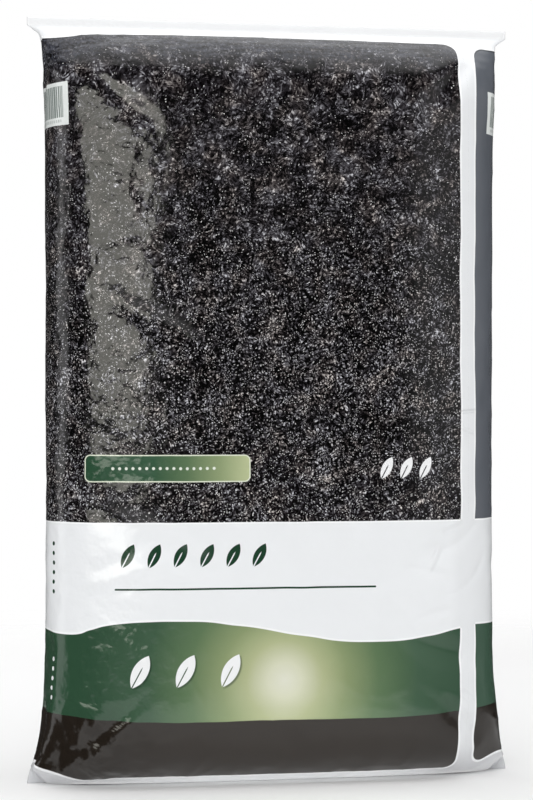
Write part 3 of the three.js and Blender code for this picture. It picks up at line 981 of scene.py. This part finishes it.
def upper_colour(across, level, panel, behind):
    """The field over the white band: soil in front and slate behind, the label and the plate."""
    upper = mixed(soil_colour(across, level), rgb(*SLATE), behind)
    label = rounded_box(
        across, level, LABEL_LEFT, LABEL_BOTTOM, 2 * LABEL_HALF_WIDTH, LABEL_HEIGHT, LABEL_RADIUS
    )
    upper = mixed(upper, label_colour(across, level), label.below(0.0, PRINT_SOFTNESS))
    pill = rounded_box(
        across, level, PILL_LEFT, PILL_BOTTOM, PILL_LENGTH, PILL_HEIGHT, PILL_RADIUS
    )
    outline = pill.above(-PILL_OUTLINE, PRINT_SOFTNESS)
    outlined = mixed(pill_colour(across, level), rgb(*PILL_BORDER), outline)
    upper = mixed(upper, outlined, pill.below(0.0, PRINT_SOFTNESS) * (1 - behind))
    small = in_front(leaf_row(across, level, SMALL_LEAVES), behind)
    upper = mixed(upper, rgb(*WHITE_MARKS), small.below(0.0, PRINT_SOFTNESS))
    top_line = panel.between(-TOP_LINE_WIDTH, 0.0, 0.4) * level.above(PRINT_TOP - 6, 3.0)
    return mixed(upper, rgb(*TOP_LINE), top_line * 0.6)


def lower_colour(across, level, behind):
    """The field under the white band: the green band with its leaves, and the dark foot band."""
    green = mixed(green_colour(across, level), rgb(*BACK_GREEN), behind)
    shadow = leaf_row(across - LEAF_SHADOW_RIGHT, level + LEAF_SHADOW_DOWN, WHITE_LEAVES)
    shadow = in_front(shadow, behind)
    green = mixed(green, rgb(*LEAF_SHADOW), shadow.below(0.0, 0.8) * 0.6)
    leaves = in_front(leaf_row(across, level, WHITE_LEAVES), behind)
    leaves = leaves.math("MINIMUM", side_dots(across, level, GREEN_DOTS_FOOT, GREEN_DOTS))
    green = mixed(green, rgb(*WHITE_MARKS), leaves.below(0.0, PRINT_SOFTNESS))
    sag = abs(across).below(120.0, 50.0) * FOOT_BAND_SAG
    return mixed(green, rgb(*FOOT_BAND), (level + sag).below(FOOT_BAND_TOP, PRINT_SOFTNESS))


def print_colour(around, level):
    """The whole print, and where the film has ink on it."""
    across, on_back, behind = on_panel(around)
    panel = panel_edge(across, level, on_back)
    above_wave = level - wave_line(across) - WAVE_HEIGHT
    below_soil = WHITE_BAND_TOP - level
    white_band = above_wave.above(0.0, PRINT_SOFTNESS) * below_soil.above(0.0, PRINT_SOFTNESS)
    in_panel = panel.below(0.0, PRINT_SOFTNESS)
    ink = in_panel * (1 - white_band)

    # The film is a little brighter along the borders of the print
    along_band = above_wave.between(0.0, 1.5, 0.4) + below_soil.between(0.0, 1.2, 0.4)
    round_panel = abs(panel - BORDER_GLOW_OFFSET).below(BORDER_GLOW, 0.5) * (1 - white_band)
    border = round_panel + along_band * in_panel

    bare = bare_colour(across, level, border, behind)
    upper = upper_colour(across, level, panel, behind)
    lower = lower_colour(across, level, behind)
    printed = mixed(lower, upper, level.above(WHITE_BAND_TOP - 20, 1.0))
    return mixed(bare, printed, ink), ink


def film_material():
    """Glossy film with its print. The folds too small for the net are in its bump."""
    material = bpy.data.materials.new("printed_film")
    material.use_nodes = True
    Field.tree = material.node_tree
    shader = material.node_tree.nodes["Principled BSDF"]

    around, level = film_place()
    colour, ink = print_colour(around, level)
    spot = Field(Field.node("ShaderNodeTexCoord").outputs["Object"])
    in_mm = stretched(spot, (1 / MM,) * 3)
    handled = grain(in_mm, HANDLED_SIZE, 3.0)
    plug(shader.inputs["Base Color"], shaded(colour, 1.0 + handled * 0.012))
    plug(shader.inputs["Roughness"], 0.2 - ink * 0.05 + handled * 0.03)
    shader.inputs["IOR"].default_value = 1.5
    shader.inputs["Specular IOR Level"].default_value = 0.5

    split = Field.node("ShaderNodeSeparateXYZ", inputs={0: in_mm})
    x, z = Field(split.outputs[0]), Field(split.outputs[2])
    left = x.between(-176.0, -92.0, 30.0)
    bent = moved(in_mm, stretched(vector(handled, handled), (HANDLED_BEND, HANDLED_BEND, 0.0)))
    crumple = grain(bent, DIMPLE_SIZE, 2.0) * (0.07 + left * 0.2)

    # Finer folds at the left corners, on a slant
    corners = x.below(-126.0, 22.0) * (z.below(72.0, 10.0) + z.above(516.0, 14.0) * 0.6)
    slanted = vector(x * 0.29 - z * 0.17, 0.0, x * 0.5 + z * 0.86)
    crumple = crumple + grain(slanted, CORNER_CRUMPLE_SIZE, 2.0) * corners * 0.3
    crumple = crumple + fine_creases(around, level)
    bump = Field.node("ShaderNodeBump", inputs={"Height": crumple, "Distance": MM, "Strength": 1.0})
    plug(shader.inputs["Normal"], Field(bump.outputs[0]))
    return material


def floor_material():
    """A dull pale grey that fades out into the white behind it."""
    material = bpy.data.materials.new("floor")
    material.use_nodes = True
    Field.tree = material.node_tree
    shader = material.node_tree.nodes["Principled BSDF"]
    shader.inputs["Base Color"].default_value = (0.93, 0.93, 0.93, 1)
    shader.inputs["Roughness"].default_value = 0.9
    shader.inputs["Specular IOR Level"].default_value = 0.0
    spot = Field(Field.node("ShaderNodeTexCoord").outputs["Object"])
    split = Field.node("ShaderNodeSeparateXYZ", inputs={0: spot})
    x, y = Field(split.outputs[0]), Field(split.outputs[1])
    far = (x * x + y * y).math("SQRT")
    plug(shader.inputs["Alpha"], far.below(FLOOR_END, FLOOR_FADE))
    return material


def add_floor():
    bpy.ops.mesh.primitive_circle_add(vertices=96, radius=FLOOR_RADIUS, fill_type="NGON")
    floor = bpy.context.object
    floor.name = "floor"
    floor.data.materials.append(floor_material())
    floor.visible_glossy = False


def add_world():
    """White to the camera and pale to plain surfaces. Reflections show a dim studio instead,
    with a bright ceiling, a pale floor in front and soft glows from the right and the left."""
    world = bpy.data.worlds.new("studio")
    bpy.context.scene.world = world
    world.use_nodes = True
    Field.tree = world.node_tree
    path = Field.node("ShaderNodeLightPath")
    seen = Field(path.outputs["Is Camera Ray"])
    glossy = Field(path.outputs["Is Glossy Ray"])
    towards = Field(Field.node("ShaderNodeTexCoord").outputs["Generated"])
    split = Field.node("ShaderNodeSeparateXYZ", inputs={0: towards})
    x, y, z = (Field(split.outputs[k]) for k in range(3))
    uneven = 1 + grain(towards, 0.05, 1.0) * 0.3
    ceiling = (z + y * 0.5).above(0.87, 0.14) * uneven * CEILING_GLOW
    ground = z.below(-0.2, 0.1) * x.above(-0.6, 0.1) * (1 - x.above(0.6, 0.3) * 0.3)
    ground = ground * (GROUND_GLOW - z.below(-0.8, 0.2) * 0.35)
    right = x.above(0.46, 0.1) * y.below(0.1, 0.3) * z.between(-0.1, 0.5, 0.15) * RIGHT_GLOW
    left = x.below(-0.86, 0.06) * y.between(0.12, 0.5, 0.08) * abs(z).below(0.4, 0.2) * LEFT_GLOW
    studio = ceiling + ground + right + left + DIM_GLOW
    strength = seen * SEEN_GLOW + (1 - seen) * (glossy * studio + (1 - glossy) * PLAIN_GLOW)
    background = world.node_tree.nodes["Background"]
    background.inputs["Color"].default_value = (1, 1, 1, 1)
    plug(background.inputs["Strength"], strength)


def add_softbox(
    name, place, target, size, radiance, colour=(1, 1, 1), shows=False, lights=True, spread=180
):
    """A rectangular light. One that shows is seen in reflections, one that lights has a beam."""
    data = bpy.data.lights.new(name, "AREA")
    data.shape = "RECTANGLE"
    data.size, data.size_y = size
    data.color = colour
    data.spread = math.radians(spread)
    data.energy = radiance * math.pi * size[0] * size[1]
    light = bpy.data.objects.new(name, data)
    bpy.context.scene.collection.objects.link(light)
    light.location = place
    light.rotation_euler = (Vector(target) - Vector(place)).to_track_quat("-Z", "Y").to_euler()
    light.visible_camera = False
    light.visible_glossy = shows
    light.visible_diffuse = lights


def around_bag(angle, distance, height):
    """A place at an angle from straight ahead of the front, positive to its right."""
    turn = math.radians(angle)
    return (distance * math.sin(turn), -distance * math.cos(turn), height)


def add_lights():
    middle = (0, 0, 0.3)
    strip = around_bag(-34, 1.5, 0.515)
    warm = (1, 0.99, 0.9)
    add_softbox("strip", strip, (0, 0, 0.515), (1.27, 0.63), 3.4, warm, shows=True, lights=False)
    add_softbox("ceiling", (0, -0.35, 2.1), (0, -0.1, 0), (2.6, 2.4), 1.35)
    add_softbox("front", around_bag(-20, 2.6, 1.5), middle, (1.8, 1.2), 2.3)
    add_softbox("right", around_bag(80, 2.2, 0.9), middle, (1.0, 1.3), 0.45)
    add_softbox("low", (0, -0.27, 0.02), (0, 0, 0.015), (0.22, 0.04), 0.75, spread=30)
    add_softbox("back", around_bag(195, 2.4, 1.2), middle, (1.6, 1.4), 1.8)


def add_camera():
    """Stands where the photograph's perspective puts it, level with the sack's middle."""
    turn, distance = math.radians(-11.8), 2.0
    focal_px, frame_height_px, sensor_mm = 2505, 800, 36
    aim_left = 0.0035
    middle = SACK_HEIGHT / 2 * MM
    place = Vector((distance * math.sin(turn), -distance * math.cos(turn), middle))
    aim = Vector((0, 0, middle)) - aim_left * Vector((math.cos(turn), math.sin(turn), 0))
    data = bpy.data.cameras.new("camera")
    data.sensor_fit = "VERTICAL"
    data.sensor_height = sensor_mm
    data.lens = focal_px * sensor_mm / frame_height_px
    camera = bpy.data.objects.new("camera", data)
    bpy.context.scene.collection.objects.link(camera)
    camera.location = place
    camera.rotation_euler = (aim - place).to_track_quat("-Z", "Y").to_euler()
    bpy.context.scene.camera = camera


def add_sack():
    """The film with its fill, which rides on the one body and takes the solid's place."""
    sack = bpy.data.objects.new("film_sack", sack_mesh())
    bpy.context.scene.collection.objects.link(sack)
    sack.data.materials.append(film_material())
    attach(sack, "root")
    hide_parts("filled_sack")


bpy.context.scene.view_settings.view_transform = "Standard"
add_camera()
add_sack()
add_floor()
add_world()
add_lights()
